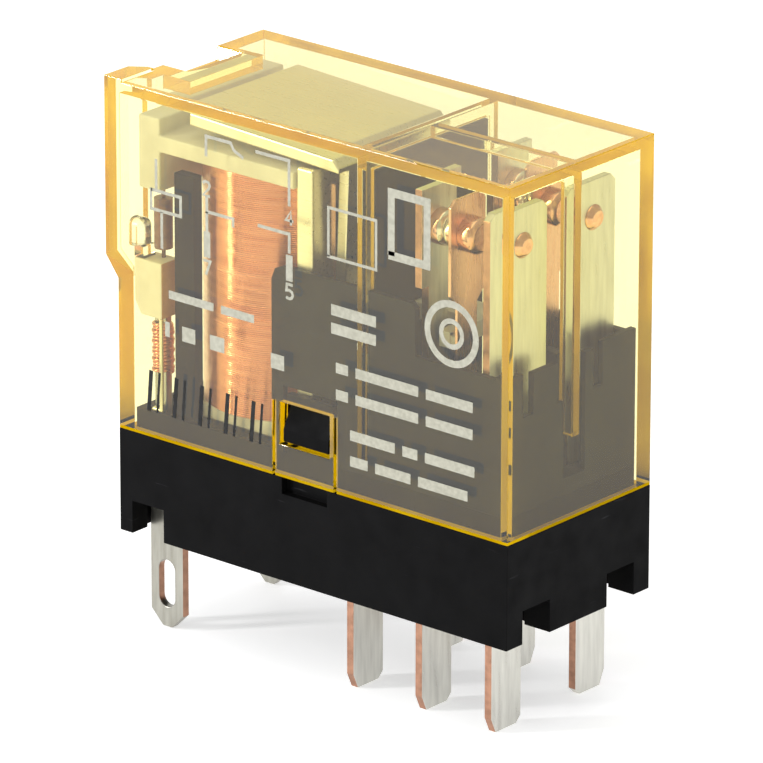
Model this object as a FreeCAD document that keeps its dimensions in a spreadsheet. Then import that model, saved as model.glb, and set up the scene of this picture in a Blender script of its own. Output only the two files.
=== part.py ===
import FreeCAD, Part
import os
import re
import Sketcher

# Slim two-pole plug-in relay, in millimetres.
# +Z is up, X runs along the long side with the contacts at +X and the coil at -X.
# Z = 0 is the underside of the base, which seats on the socket; the blades reach below it.
# Sub-parts come in pairs, one for each pole: _1 is the pole at -Y and _2 the pole at +Y.

os.makedirs("parts", exist_ok=True)
doc = FreeCAD.newDocument("plug_in_relay")


# ---------------------------------------------------------------- driving dimensions

SIZES = """
body_length 29.0           | outside length of the base and cover
body_width 12.7            | outside width of the base and cover
body_height 27.3           | seat to the top of the cover
skirt_height 6.3           | seat to the seam between base and cover
cover_wall 0.8             | wall of the clear cover
rim_gap 0.1                | room between the cover and what stands inside it
slip 0.05                  | room round pieces that drop into moulded pockets
rim_height 7.65            | top of the rim that the cover slides over
floor_height 6.5           | floor inside the rim
lug_reach 0.95             | how far the end lug stands out of the cover
lug_room 0.85              | clear width inside the end lug at its outer face
lug_flare 0.7              | how much wider the lug is where it leaves the end wall
lug_bottom 15.45           | where the end lug's slope starts
lug_slope 1.25             | height of that slope
lug_lip 0.2                | how far the lug stands over the cover's top
notch_depth 0.85           | depth of the finger notch in the cover's top
notch_near 2.4             | near edge of the finger notch from the middle
notch_far 2.35             | far edge of the finger notch from the middle
notch_length 2.0           | length of the finger notch
notch_slope 1.8            | run of the notch's slope on its near side
notch_far_slope 0.2        | run of its slope on the far side
rib_thickness 0.6          | ribs inside the cover
rib_depth 0.75             | how far the ribs stand in
rib_bottom 8.2             | lower end of the side ribs
end_rib_depth 0.98         | how far the end rib stands in
end_rib_bottom 11.0        | lower end of the end rib
window_left -2.3           | latch window, end towards the coil
window_right 1.47          | latch window, end towards the contacts
window_bottom 8.3          | lower edge of the latch window
window_top 10.85           | upper edge of the latch window
groove_depth 0.3           | grooves that free the latch panel
groove_width 0.2           | width of those grooves
groove_out 0.4             | middle of each groove outside the window's edge
rim_end_wall 0.8           | wall of the base's rim at the ends
rim_wall 0.35              | wall of the base's rim along the sides
latch_wall 0.4             | thickness of the latch tongue
latch_side_play 0.2        | room beside the tongue in its window
latch_play 0.15            | room over and under the latch nose in its window
latch_sunk 0.15            | latch nose under the cover's outer face
nose_height 0.75           | flat face of the latch nose
pry_height 1.0             | pry recess under the seam
pry_depth 0.5              | depth of the pry recess
post_gap 0.6               | lamp holder to the corner post, along X
post_length 1.5            | corner post of the base, along X
post_thickness 0.7         | corner post, across Y
post_top 22.4              | top of the corner posts
under_depth 2.0            | recess round each blade in the underside
under_room 0.3             | room round each blade in that recess
end_notch_width 2.4        | notch from that recess to the outside
blade_drop 6.0             | blade tips below the seat
blade_thickness 0.5        | thickness of every blade
blade_width 2.6            | width of the contact blades
coil_blade_width 2.5       | width of the coil blades
blade_pitch 5.1            | contact blade to contact blade along X
blade_row 3.75             | middle of each row of contact blades from the middle
coil_row 4.5               | middle of each coil blade from the middle
no_inset 2.4               | outermost contact blade from the end of the body
coil_inset 2.15            | coil blades from the end of the body
tip_chamfer 0.9            | long chamfer at a blade tip
tip_bevel 0.4              | short chamfer at a blade tip
coil_shoulder 5.5          | level where a coil blade narrows to its post
coil_post 0.9              | width of that post
eye_width 1.2              | slot in a coil blade
eye_height 2.9             | length of that slot
eye_centre -3.3            | middle of that slot
plate_width 4.0            | width of the outer contact plates
plate_room 0.05            | room between those plates and the housing's side walls
spring_inner 1.6           | inner edge of the springs and inner contact plates
spring_outer 4.6           | outer edge of the springs and inner contact plates
stem_inner 2.3             | inner edge of the narrow lower spring
stem_outer 4.0             | outer edge of the narrow lower spring
contact_row 3.1            | middle of the contact buttons from the middle
contact_height 22.8        | height of the contact buttons
plate_top 25.0             | top of the outer contact plates and springs
inner_plate_top 25.2       | top of the inner contact plates
head_bottom 19.4           | where plates and springs widen
head_slope 0.8             | height over which the springs widen
spring_pivot 10.0          | lower end of the moving spring, where it bends
spring_thickness 0.2       | moving spring
spring_inset 5.4           | moving spring from the end of the body
com_jog_height 4.4         | level of the sideways run of the common terminal
spring_grip 1.5            | height of the common terminal beside the spring's foot
inner_plate_back 2.25      | moving spring to the inner contact plate
button_radius 1.05         | contact buttons
button_bevel 0.25          | bevel round a button's face
shank_radius 0.6           | rivet shank of a button
rivet_fit 0.02             | radial room round a rivet or the core's foot
tail_radius 0.78           | rivet tail of a button
tail_height 0.35           | rivet tail of a button
inner_button 0.95          | moving button, side that rests closed
outer_button 1.1           | moving button, side that rests open
closed_gap 0.04            | hairline left at the closed contact
contact_gap 0.78           | open contact gap
coil_offset 7.6            | coil axis from the end of the body
winding_radius 4.8         | outside of the winding
winding_gap 0.25           | room between winding and yoke or posts
barrel_radius 2.65         | outside of the bobbin's barrel
bore_radius 2.05           | bore of the bobbin
core_radius 2.0            | iron core
core_foot_radius 1.2       | riveted foot of the core
pole_radius 2.9            | pole face on top of the core
lower_flange 0.9           | thickness of the lower flange
upper_flange_bottom 23.4   | underside of the upper flange
bobbin_top 24.4            | top of the upper flange
flange_reach 5.2           | half width of the upper flange
head_length 1.6            | bobbin's end block, along X
head_setback 0.4           | lower flange's end to that block
head_bottom_end 21.0       | underside of the bobbin's end block
head_top_end 25.4          | top of the bobbin's end block
yoke_thickness 1.2         | yoke strip
yoke_room 0.05             | room between the upright yoke leg and the housing's side walls
yoke_foot_reach 3.2        | half width of the yoke's foot
yoke_top 24.7              | top of the upright yoke leg
armature_gap 0.05          | air left under the closed armature
armature_thickness 0.75    | armature plate
armature_arm 9.7           | hinge edge to the free end of the armature
armature_out 1.5           | hinge edge to the outside of its leg
armature_leg 8.45          | hinge edge to the foot of its leg
armature_reach 4.5         | half width of the armature
armature_leg_reach 3.6     | half width of its leg
armature_open 2.4          | opening angle at rest, in degrees
leaf_thickness 0.15        | hinge spring leaf
leaf_bottom 12.8           | lower end of the hinge spring
leaf_top 23.5              | upper end of the hinge spring
card_play 0.05             | hairline between card and the pieces it pushes
card_height 16.5           | middle of the actuator card
card_thickness 1.0         | actuator card
card_stem_reach 1.2        | half width of its stem
card_head_reach 3.9        | half width of its head
card_tail_reach 3.0        | half width of its tail
card_bar 0.8               | head and tail, along X
card_finger 0.4            | how far the fingers stand out of the head
finger_inset 0.2           | edge of the narrow spring to the edge of a finger
finger_half 0.25           | half height of its finger tips
case_wall 0.4              | walls of the contact housing
case_floor 1.0             | floor of the contact housing
case_overlap 1.5           | how far its side walls reach past the yoke towards the coil
case_high 18.8             | top of its side walls beside the yoke
case_low 15.7              | top of its side walls beside the contacts
case_corner 0.9            | cut upper corner of its side walls
case_step 0.3              | bevel at the step in its side walls
end_wall_drop 2.4          | end wall below the walls' low top
end_wall_inner 0.95        | inner edge of each half of the end wall
end_post_rise 0.2          | outer end posts over the walls' low top
near_post_inner 1.5        | near pole's inner end post, inner edge
near_post_outer 3.6        | near pole's inner end post, outer edge
near_post_gap 0.9          | gap to the near pole's outer end post
far_post_outer 1.7         | far pole's inner end post, outer edge
far_post_gap 0.8           | gap to the far pole's outer end post
barrier_x 3.5              | middle of the wall between coil and contacts
barrier_thickness 0.6      | that wall
led_width 2.1              | lamp holder along X
led_depth 1.5              | lamp holder across Y
led_bottom 13.4            | underside of the lamp holder
led_top 16.8               | top of the lamp holder
led_taper 0.5              | its tapered lower corner, along X
led_taper_height 0.8       | height of that corner
lamp_foot 0.7              | foot of the lamp, along X
lens_radius 0.5            | rounded ends of the oval lamp
lens_length 1.4            | oval lamp along X
lens_height 2.3            | lamp over its holder
lens_step 0.6              | height of the lamp's foot
resistor_radius 0.55       | series resistor
resistor_length 3.0        | series resistor
resistor_setback 0.75      | resistor's axis from the inner face of the lamp holder
resistor_in 1.05           | resistor's axis from the outer face of the lamp holder
lead_radius 0.12           | round connecting leads
wrap_radius 0.7            | wire wrapped round a coil terminal
wrap_clear 0.4             | top of the wrap to the end of the terminal
wrap_length 3.2            | length of the wrap
"""

sheet = doc.addObject("Spreadsheet::Sheet", "dims")
words = set()
for row, line in enumerate(SIZES.strip().splitlines(), start=1):
    left, meaning = line.split("|")
    word, value = left.split()
    sheet.set("A%d" % row, word)
    sheet.set("B%d" % row, value)
    sheet.set("C%d" % row, meaning.strip())
    sheet.setAlias("B%d" % row, word)
    words.add(word)
doc.recompute()


# ---------------------------------------------------------------- modelling helpers

def bound(text):
    """A sum of size words, written as an expression on the sheet's cells."""
    return re.sub(r"[a-z_]+", lambda found: "dims." * (found[0] in words) + found[0], str(text))


def less(text, amount):
    """One sum minus another."""
    return "(%s) - (%s)" % (text, amount)


def more(text, amount):
    """One sum plus another."""
    return "(%s) + (%s)" % (text, amount)


def span(middle, size):
    """Low and high limits of a size set evenly about a middle."""
    return less(middle, "(%s) / 2" % size), more(middle, "(%s) / 2" % size)


def side(pole, low, high):
    """Limits across Y for one pole: pole -1 lies at -Y and pole 1 at +Y."""
    if pole < 0:
        return "-(%s)" % high, "-(%s)" % low
    return low, high


def block(name, x, y, z):
    """A box between low and high limits along each axis."""
    box = doc.addObject("Part::Box", name)
    for prop, place, (low, high) in (("Length", "x", x), ("Width", "y", y), ("Height", "z", z)):
        box.setExpression("Placement.Base." + place, bound(low))
        box.setExpression(prop, bound(less(high, low)))
    return box


def rod(name, x, y, z, radius, along="z"):
    """A round bar: two of x, y, z are its centre line, and the third is its pair of limits."""
    bar = doc.addObject("Part::Cylinder", name)
    bar.setExpression("Radius", bound(radius))
    if along == "x":
        bar.Placement.Rotation = FreeCAD.Rotation(FreeCAD.Vector(0, 1, 0), 90)
    if along == "y":
        bar.Placement.Rotation = FreeCAD.Rotation(FreeCAD.Vector(1, 0, 0), -90)
    for place, value in (("x", x), ("y", y), ("z", z)):
        if place == along:
            bar.setExpression("Height", bound(less(value[1], value[0])))
            value = value[0]
        bar.setExpression("Placement.Base." + place, bound(value))
    return bar


def taper(name, x, y, z, low_radius, high_radius, along="x"):
    """A cone frustum along X, from its low limit to its high limit."""
    cone = doc.addObject("Part::Cone", name)
    cone.Placement.Rotation = FreeCAD.Rotation(FreeCAD.Vector(0, 1, 0), 90)
    cone.setExpression("Radius1", bound(low_radius))
    cone.setExpression("Radius2", bound(high_radius))
    cone.setExpression("Height", bound(less(x[1], x[0])))
    for place, value in (("x", x[0]), ("y", y), ("z", z)):
        cone.setExpression("Placement.Base." + place, bound(value))
    return cone


def ball(name, x, y, z, radius):
    """A sphere about a point."""
    whole = doc.addObject("Part::Sphere", name)
    whole.setExpression("Radius", bound(radius))
    for place, value in (("x", x), ("y", y), ("z", z)):
        whole.setExpression("Placement.Base." + place, bound(value))
    return whole


def outline(name, plane, points, limits):
    """A body padded between two limits from a closed outline on the XY, XZ or YZ plane."""
    body = doc.addObject("PartDesign::Body", name)
    sketch = body.newObject("Sketcher::SketchObject", name + "_sketch")
    planes = [item for item in body.Origin.OriginFeatures if item.Role == plane + "_Plane"]
    sketch.AttachmentSupport = [(planes[0], "")]
    sketch.MapMode = "FlatFace"
    low, high = limits
    # The XZ plane's normal points to -Y, so a pad on it starts from the high limit.
    start = "-(%s)" % high if plane == "XZ" else low
    sketch.setExpression("AttachmentOffset.Base.z", bound(start))
    count = len(points)
    places = [[number_of(a), number_of(b)] for a, b in points]
    for i in range(count):
        first = FreeCAD.Vector(places[i][0], places[i][1], 0)
        last = FreeCAD.Vector(places[(i + 1) % count][0], places[(i + 1) % count][1], 0)
        sketch.addGeometry(Part.LineSegment(first, last), False)
    for i in range(count):
        sketch.addConstraint(Sketcher.Constraint("Coincident", i, 2, (i + 1) % count, 1))
    for i, (a, b) in enumerate(points):
        across = sketch.addConstraint(Sketcher.Constraint("DistanceX", -1, 1, i, 1, places[i][0]))
        up = sketch.addConstraint(Sketcher.Constraint("DistanceY", -1, 1, i, 1, places[i][1]))
        sketch.setExpression("Constraints[%d]" % across, bound(a))
        sketch.setExpression("Constraints[%d]" % up, bound(b))
    pad = body.newObject("PartDesign::Pad", name + "_pad")
    pad.Profile = sketch
    pad.setExpression("Length", bound(less(high, low)))
    return body


def number_of(text):
    """The present value of a sum of size words."""
    plain = re.sub(r"[a-z_]+", lambda found: repr(float(sheet.get(found[0]))), str(text))
    value = sheet.evalExpression(plain)
    return float(getattr(value, "Value", value))


def join(name, *pieces):
    """One solid made of several."""
    whole = doc.addObject("Part::MultiFuse", name)
    whole.Shapes = list(pieces)
    whole.Refine = True
    return whole


def common_of(name, *pieces):
    """The solid where several overlap."""
    whole = doc.addObject("Part::MultiCommon", name)
    whole.Shapes = list(pieces)
    return whole


def cut(name, base, *tools):
    """A solid with one or more others taken out of it."""
    whole = doc.addObject("Part::Cut", name)
    whole.Base = base
    whole.Tool = tools[0] if len(tools) == 1 else join(name + "_tools", *tools)
    whole.Refine = True
    return whole


nodes = {}


def node(name, piece):
    """Names a finished sub-part after its file."""
    piece.Label = name
    nodes[name] = piece


POLES = {"1": -1, "2": 1}


# ---------------------------------------------------------------- derived places

END = "body_length / 2"
SIDE = "body_width / 2"
IN_END = "(body_length / 2 - cover_wall)"
IN_SIDE = "(body_width / 2 - cover_wall)"
RIM_END = "(body_length / 2 - cover_wall - rim_gap)"
RIM_SIDE = "(body_width / 2 - cover_wall - rim_gap)"
CEILING = "(body_height - cover_wall)"
NO_X = "(body_length / 2 - no_inset)"
COM_X = "(body_length / 2 - no_inset - blade_pitch)"
NC_X = "(body_length / 2 - no_inset - 2 * blade_pitch)"
SPRING_X = "(body_length / 2 - spring_inset)"
PLATE_X = "(body_length / 2 - spring_inset - inner_plate_back)"
COIL_BLADE_X = "(coil_inset - body_length / 2)"
COIL_X = "(coil_offset - body_length / 2)"
YOKE_X = "(coil_offset - body_length / 2 + winding_radius + 1.25 * winding_gap)"
HINGE_X = "(coil_offset - body_length / 2 + winding_radius + 1.25 * winding_gap + yoke_thickness)"
HINGE_Z = "(yoke_top + armature_gap)"
BOBBIN_X = "(cover_wall + led_width + rim_gap - body_length / 2)"
POST_X = "(cover_wall + led_width + rim_gap + post_gap - body_length / 2)"
POST_SIDE = "(body_width / 2 - cover_wall - rim_gap - rim_wall)"
BOBBIN_Z = "(floor_height + yoke_thickness)"
WALL_SIDE = "(body_width / 2 - cover_wall - rim_gap - case_wall)"
PLATE_OUTER = "(body_width / 2 - cover_wall - rim_gap - case_wall - plate_room)"
PLATE_INNER = "(body_width / 2 - cover_wall - rim_gap - case_wall - plate_room - plate_width)"
YOKE_REACH = "(body_width / 2 - cover_wall - rim_gap - case_wall - yoke_room)"
FLOOR_SIDE = "(body_width / 2 - cover_wall - rim_gap - rim_wall - 2 * slip)"


# ---------------------------------------------------------------- clear cover

# Five-sided clear shell, open below, with an outward lug at one upper end corner,
# a finger notch in the top, ribs inside and a latch window low in each long side.

def make_cover():
    """The shell, its lug, ribs, notch, latch windows and panel grooves."""
    shell = block("cover_outside", ("-" + END, END), ("-" + SIDE, SIDE), ("skirt_height", "body_height"))
    out = "-" + END + " - lug_reach"
    root = "-" + END + " + cover_wall / 2"
    slope_top = "lug_bottom + lug_slope"
    high = "body_height + lug_lip"
    outside = "lug_room + 1.5 * cover_wall"
    inside = "lug_room + 0.75 * cover_wall + lug_flare"
    lug = common_of("cover_lug", outline("cover_lug_side", "XZ", [
        ("-" + END, "lug_bottom"), (out, slope_top), (out, high), (root, high), (root, "lug_bottom")],
        ("-" + SIDE, "0")), outline("cover_lug_plan", "XY", [
            (root, "-" + SIDE), (out, "-" + SIDE), (out, outside + " - " + SIDE),
            ("-" + END, outside + " + lug_flare - " + SIDE), (root, outside + " + lug_flare - " + SIDE)],
            ("0", high)))
    room = block("cover_room", ("-" + IN_END, IN_END), ("-" + IN_SIDE, IN_SIDE),
                 ("skirt_height - 1", CEILING))
    room_out = out + " + cover_wall"
    room_root = "-" + IN_END + " + cover_wall / 2"
    lug_room = common_of("cover_lug_room", outline("cover_lug_room_side", "XZ", [
        ("-" + IN_END, "lug_bottom + cover_wall"), (room_out, slope_top + " + cover_wall / 2"),
        (room_out, CEILING), (room_root, CEILING), (room_root, "lug_bottom + cover_wall")],
        ("-" + IN_SIDE, "0")), outline("cover_lug_room_plan", "XY", [
            (room_root, "-" + IN_SIDE), (room_out, "-" + IN_SIDE),
            (room_out, "lug_room + cover_wall - " + SIDE),
            ("-" + IN_END, inside + " - " + SIDE), (room_root, inside + " - " + SIDE)], ("0", CEILING)))
    shell = cut("cover_shell", join("cover_solid", shell, lug), room, lug_room)

    across = span("barrier_x", "rib_thickness")
    middle = span("0", "rib_thickness")
    below = less(CEILING, "rib_depth")
    rib_end = less(IN_END, "end_rib_depth")
    pieces = [
        shell,
        block("cover_cross_rib", across, ("-" + IN_SIDE, IN_SIDE), (below, CEILING)),
        block("cover_long_rib", (across[1], IN_END), middle, (below, CEILING)),
        block("cover_end_rib", (rib_end, IN_END), middle, ("end_rib_bottom", CEILING)),
        block("cover_notch_roof", ("-" + IN_END, "notch_length - %s + cover_wall" % END),
              ("-notch_near - cover_wall", "notch_far + cover_wall"),
              ("body_height - notch_depth - cover_wall", CEILING)),
    ]
    for tag, pole in POLES.items():
        pieces.append(block("cover_side_rib_" + tag, across, side(pole, IN_SIDE + " - rib_depth", IN_SIDE),
                            ("rib_bottom", CEILING)))
    ribbed = join("cover_ribbed", *pieces)

    notch = outline("cover_notch", "YZ", [
        ("-notch_near", "body_height + 1"), ("-notch_near", "body_height"),
        ("notch_slope - notch_near", "body_height - notch_depth"),
        ("notch_far - notch_far_slope", "body_height - notch_depth"),
        ("notch_far", "body_height"), ("notch_far", "body_height + 1")],
        ("-" + END + " - 1", "notch_length - " + END))
    tools = [notch]
    for tag, pole in POLES.items():
        tools.append(block("cover_window_" + tag, ("window_left", "window_right"),
                           side(pole, IN_SIDE + " - 1", SIDE + " + 1"), ("window_bottom", "window_top")))
        for end, x in (("a", "window_left - groove_out"), ("b", "window_right + groove_out")):
            tools.append(block("cover_groove_%s_%s" % (end, tag), span(x, "groove_width"),
                               side(pole, SIDE + " - groove_depth", SIDE + " + 1"),
                               ("skirt_height - 1", "window_top")))
    return cut("cover", ribbed, *tools)


node("cover", make_cover())


# ---------------------------------------------------------------- black base

# Moulded base: a plain skirt below the seam, a rim inside the cover, two corner posts,
# a latch tongue in each long side, and slots and recesses for the eight blades.

def blade_pocket(name, x, y, depth):
    """Recess round a blade in the underside."""
    grow = "under_room"
    return block(name, (less(x[0], grow), more(x[1], grow)), (less(y[0], grow), more(y[1], grow)),
                 ("-1", depth))


def make_base():
    """The moulded block with everything that stands on it or is cut from it."""
    pieces = [
        block("base_skirt", ("-" + END, END), ("-" + SIDE, SIDE), ("0", "skirt_height")),
        block("base_rim", ("-" + RIM_END, RIM_END), ("-" + RIM_SIDE, RIM_SIDE), ("0", "rim_height")),
    ]
    room_x = ("rim_end_wall - " + RIM_END, RIM_END + " - rim_end_wall")
    room_y = ("rim_wall - " + RIM_SIDE, RIM_SIDE + " - rim_wall")
    room = [block("base_room", room_x, room_y, ("floor_height", "rim_height + 1"))]
    raised = []
    latch_in = RIM_SIDE + " - latch_wall"
    latch_x = ("window_left + latch_side_play", "window_right - latch_side_play")
    for tag, pole in POLES.items():
        raised.append(block("base_post_" + tag, (POST_X, POST_X + " + post_length"),
                            side(pole, POST_SIDE + " - post_thickness", POST_SIDE),
                            ("floor_height", "post_top")))
        raised.append(block("base_tongue_" + tag, latch_x,
                            side(pole, latch_in, RIM_SIDE), ("floor_height", "window_top + latch_wall")))
        nose = [("%d * (%s)" % (pole, a), b) for a, b in (
            (latch_in + " + latch_wall / 4", "window_bottom + latch_play"),
            (SIDE + " - latch_sunk", "window_bottom + latch_play"),
            (SIDE + " - latch_sunk", "window_bottom + latch_play + nose_height"),
            (RIM_SIDE, "window_top - latch_play"),
            (latch_in + " + latch_wall / 4", "window_top - latch_play"))]
        raised.append(outline("base_latch_" + tag, "YZ", nose, latch_x))
        room.append(block("base_pry_" + tag, latch_x,
                          side(pole, SIDE + " - pry_depth", SIDE + " + 1"),
                          ("skirt_height - pry_height", "skirt_height + 0.01")))
    body = join("base_body", cut("base_tray", join("base_block", *pieces), *room), *raised)

    tools = []
    for tag, pole in POLES.items():
        row = side(pole, "blade_row - blade_width / 2", "blade_row + blade_width / 2")
        for word, x in (("nc", NC_X), ("com", COM_X), ("no", NO_X)):
            blade = span(x, "blade_thickness")
            tools.append(blade_pocket("base_recess_%s_%s" % (word, tag), blade, row, "under_depth"))
            tools.append(block("base_slot_%s_%s" % (word, tag), blade, row, ("0", "floor_height + 0.01")))
        tools.append(block("base_jog_room_" + tag, (COM_X + " - blade_thickness / 2", jog_end()),
                           row, ("com_jog_height", "floor_height + 0.01")))
        tools.append(block("base_end_notch_" + tag, (NO_X, END + " + 1"),
                           side(pole, "blade_row - end_notch_width / 2", "blade_row + end_notch_width / 2"),
                           ("-1", "under_depth")))
        coil = span(COIL_BLADE_X, "coil_blade_width")
        coil_y = side(pole, "coil_row - blade_thickness / 2", "coil_row + blade_thickness / 2")
        tools.append(blade_pocket("base_coil_recess_" + tag, coil, coil_y, "under_depth"))
        tools.append(block("base_coil_slot_" + tag, coil, coil_y, ("0", "coil_shoulder")))
        tools.append(block("base_coil_post_slot_" + tag, span(COIL_BLADE_X, "coil_post"), coil_y,
                           ("0", "rim_height + 0.01")))
        tools.append(block("base_side_notch_" + tag, span(COIL_BLADE_X, "end_notch_width"),
                           side(pole, "coil_row", SIDE + " + 1"), ("-1", "under_depth")))
    return cut("base", body, *tools)


def jog_end():
    """Outer face of the common terminal's upper plate, a hairline behind the moving spring."""
    return SPRING_X + " - spring_thickness / 2 - card_play"


node("base", make_base())


# ---------------------------------------------------------------- blades and contact plates

def flat_outline(pole, corners):
    """Corners in the YZ plane, moved to one pole."""
    return [("%d * (%s)" % (pole, y), z) for y, z in corners]


def sheet_part(name, pole, side_view, front_view):
    """A bent strip: its side view in XZ and its front view in YZ, kept where both agree."""
    reach = side(pole, "0", "body_width")
    bent = outline(name + "_bend", "XZ", side_view, reach)
    flat = outline(name + "_front", "YZ", front_view, ("-body_length", "body_length"))
    return common_of(name + "_strip", bent, flat)


def blade_front(pole, upper):
    """Front view of a contact strip: blade below the floor and the given corners above it."""
    inner = "blade_row - blade_width / 2"
    outer = "blade_row + blade_width / 2"
    lower = [(outer, "floor_height"), (outer, "tip_chamfer - blade_drop"),
             (outer + " - tip_bevel", "-blade_drop"), (inner + " + tip_bevel", "-blade_drop"),
             (inner, "tip_bevel - blade_drop"), (inner, "floor_height")]
    return flat_outline(pole, lower + upper)


def shank_hole(name, pole, x):
    """Hole for a contact rivet through a strip between two limits along X."""
    return rod(name, x, "%d * contact_row" % pole, "contact_height", "shank_radius + rivet_fit", along="x")


def make_no_terminal(tag, pole):
    """Straight strip: blade, shoulders on the base's floor, and the outer contact plate."""
    x = span(NO_X, "blade_thickness")
    view = [(x[0], "-blade_drop"), (x[1], "-blade_drop"), (x[1], "plate_top"), (x[0], "plate_top")]
    front = blade_front(pole, [
        (PLATE_INNER, "floor_height"), (PLATE_INNER, "plate_top - tip_bevel"),
        (PLATE_INNER + " + tip_bevel", "plate_top"), (PLATE_OUTER + " - tip_bevel", "plate_top"),
        (PLATE_OUTER, "plate_top - tip_bevel"), (PLATE_OUTER, "floor_height")])
    strip = sheet_part("no_" + tag, pole, view, front)
    return cut("no_strip_" + tag, strip, shank_hole("no_hole_" + tag, pole, (x[0] + " - 1", x[1] + " + 1")))


def make_nc_terminal(tag, pole):
    """Blade, a run along the base's floor, and the inner contact plate."""
    blade = span(NC_X, "blade_thickness")
    plate = span(PLATE_X, "blade_thickness")
    top = "floor_height + blade_thickness"
    view = [(blade[0], "-blade_drop"), (blade[1], "-blade_drop"), (blade[1], "floor_height"),
            (plate[1], "floor_height"), (plate[1], "inner_plate_top"), (plate[0], "inner_plate_top"),
            (plate[0], top), (blade[0], top)]
    front = blade_front(pole, [
        ("stem_inner", "floor_height + 2 * blade_thickness"), ("stem_inner", "head_bottom"),
        ("spring_inner", "head_bottom"), ("spring_inner", "inner_plate_top"),
        ("spring_outer", "inner_plate_top"), ("spring_outer", "head_bottom"),
        ("stem_outer", "head_bottom"), ("stem_outer", "floor_height + 2 * blade_thickness"),
        (FLOOR_SIDE, "floor_height + 2 * blade_thickness"), (FLOOR_SIDE, "floor_height")])
    strip = sheet_part("nc_" + tag, pole, view, front)
    return cut("nc_strip_" + tag, strip,
               shank_hole("nc_hole_" + tag, pole, (plate[0] + " - 1", plate[1] + " + 1")))


def make_com_terminal(tag, pole):
    """Blade, a run inside the base, and a short upright behind the moving spring's foot."""
    blade = span(COM_X, "blade_thickness")
    up_out = jog_end()
    up_in = less(up_out, "blade_thickness")
    run_top = "com_jog_height + blade_thickness"
    top = "spring_pivot + spring_grip"
    view = [(blade[0], "-blade_drop"), (blade[1], "-blade_drop"), (blade[1], "com_jog_height"),
            (up_out, "com_jog_height"), (up_out, top), (up_in, top), (up_in, run_top), (blade[0], run_top)]
    front = blade_front(pole, [
        ("stem_inner", "floor_height + 2 * blade_thickness"), ("stem_inner", top), ("stem_outer", top),
        ("stem_outer", "floor_height + 2 * blade_thickness"),
        (FLOOR_SIDE, "floor_height + 2 * blade_thickness"), (FLOOR_SIDE, "floor_height")])
    return sheet_part("com_" + tag, pole, view, front)


def make_coil_terminal(tag, pole):
    """Flat blade with an eye, and a narrow post that carries the wires."""
    low, high = span(COIL_BLADE_X, "coil_blade_width")
    post = span(COIL_BLADE_X, "coil_post")
    y = side(pole, "coil_row - blade_thickness / 2", "coil_row + blade_thickness / 2")
    blade = outline("coil_blade_" + tag, "XZ", [
        (low, "tip_chamfer - blade_drop"), (low + " + tip_chamfer", "-blade_drop"),
        (high + " - tip_chamfer", "-blade_drop"), (high, "tip_chamfer - blade_drop"),
        (high, "coil_shoulder"), (post[1], "coil_shoulder"), (post[1], "led_bottom"),
        (post[0], "led_bottom"), (post[0], "coil_shoulder"), (low, "coil_shoulder")], y)
    flat = "(eye_height - eye_width) / 2"
    eye = block("coil_eye_flat_" + tag, span(COIL_BLADE_X, "eye_width"), (y[0] + " - 1", y[1] + " + 1"),
                ("eye_centre - " + flat, "eye_centre + " + flat))
    ends = [rod("coil_eye_%s_%s" % (word, tag), COIL_BLADE_X, (y[0] + " - 1", y[1] + " + 1"),
                "eye_centre %s %s" % (sign, flat), "eye_width / 2", along="y")
            for word, sign in (("low", "-"), ("high", "+"))]
    return cut("coil_terminal_strip_" + tag, blade, eye, *ends)


for tag, pole in POLES.items():
    node("nc_terminal_" + tag, make_nc_terminal(tag, pole))
    node("com_terminal_" + tag, make_com_terminal(tag, pole))
    node("no_terminal_" + tag, make_no_terminal(tag, pole))
    node("coil_terminal_" + tag, make_coil_terminal(tag, pole))


# ---------------------------------------------------------------- contacts

def rivet(name, pole, face, back, tail):
    """Contact rivet along X: bevelled button from back to face, shank and domed tail from back to tail."""
    y = "%d * contact_row" % pole
    forward = number_of(face) > number_of(back)
    bevel_from = less(face, "button_bevel") if forward else more(face, "button_bevel")
    button = (back, bevel_from) if forward else (bevel_from, back)
    tip_cone = (bevel_from, face) if forward else (face, bevel_from)
    radii = ("button_radius", "button_radius - button_bevel")
    radii = radii if forward else radii[::-1]
    tail_from = less(tail, "-tail_height") if forward else less(tail, "tail_height")
    shank = (tail_from, back) if forward else (back, tail_from)
    head = (tail, tail_from) if forward else (tail_from, tail)
    tail_radii = ("tail_radius * 0.6", "tail_radius")
    tail_radii = tail_radii if forward else tail_radii[::-1]
    return join(name,
                rod(name + "_button", button, y, "contact_height", "button_radius", along="x"),
                taper(name + "_face", tip_cone, y, "contact_height", *radii),
                rod(name + "_shank", shank, y, "contact_height", "shank_radius", along="x"),
                taper(name + "_tail", head, y, "contact_height", *tail_radii))


def make_moving_contact(tag, pole):
    """Double button through the moving spring."""
    y = "%d * contact_row" % pole
    inner = (SPRING_X + " - spring_thickness / 2 - inner_button", SPRING_X + " - spring_thickness / 2")
    outer = (SPRING_X + " + spring_thickness / 2", SPRING_X + " + spring_thickness / 2 + outer_button")
    name = "moving_rivet_" + tag
    return join(name,
                taper(name + "_in_face", (inner[0], inner[0] + " + button_bevel"), y, "contact_height",
                      "button_radius - button_bevel", "button_radius"),
                rod(name + "_in", (inner[0] + " + button_bevel", inner[1]), y, "contact_height",
                    "button_radius", along="x"),
                rod(name + "_shank", (inner[1], outer[0]), y, "contact_height", "shank_radius", along="x"),
                rod(name + "_out", (outer[0], outer[1] + " - button_bevel"), y, "contact_height",
                    "button_radius", along="x"),
                taper(name + "_out_face", (outer[1] + " - button_bevel", outer[1]), y, "contact_height",
                      "button_radius", "button_radius - button_bevel"))


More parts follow.
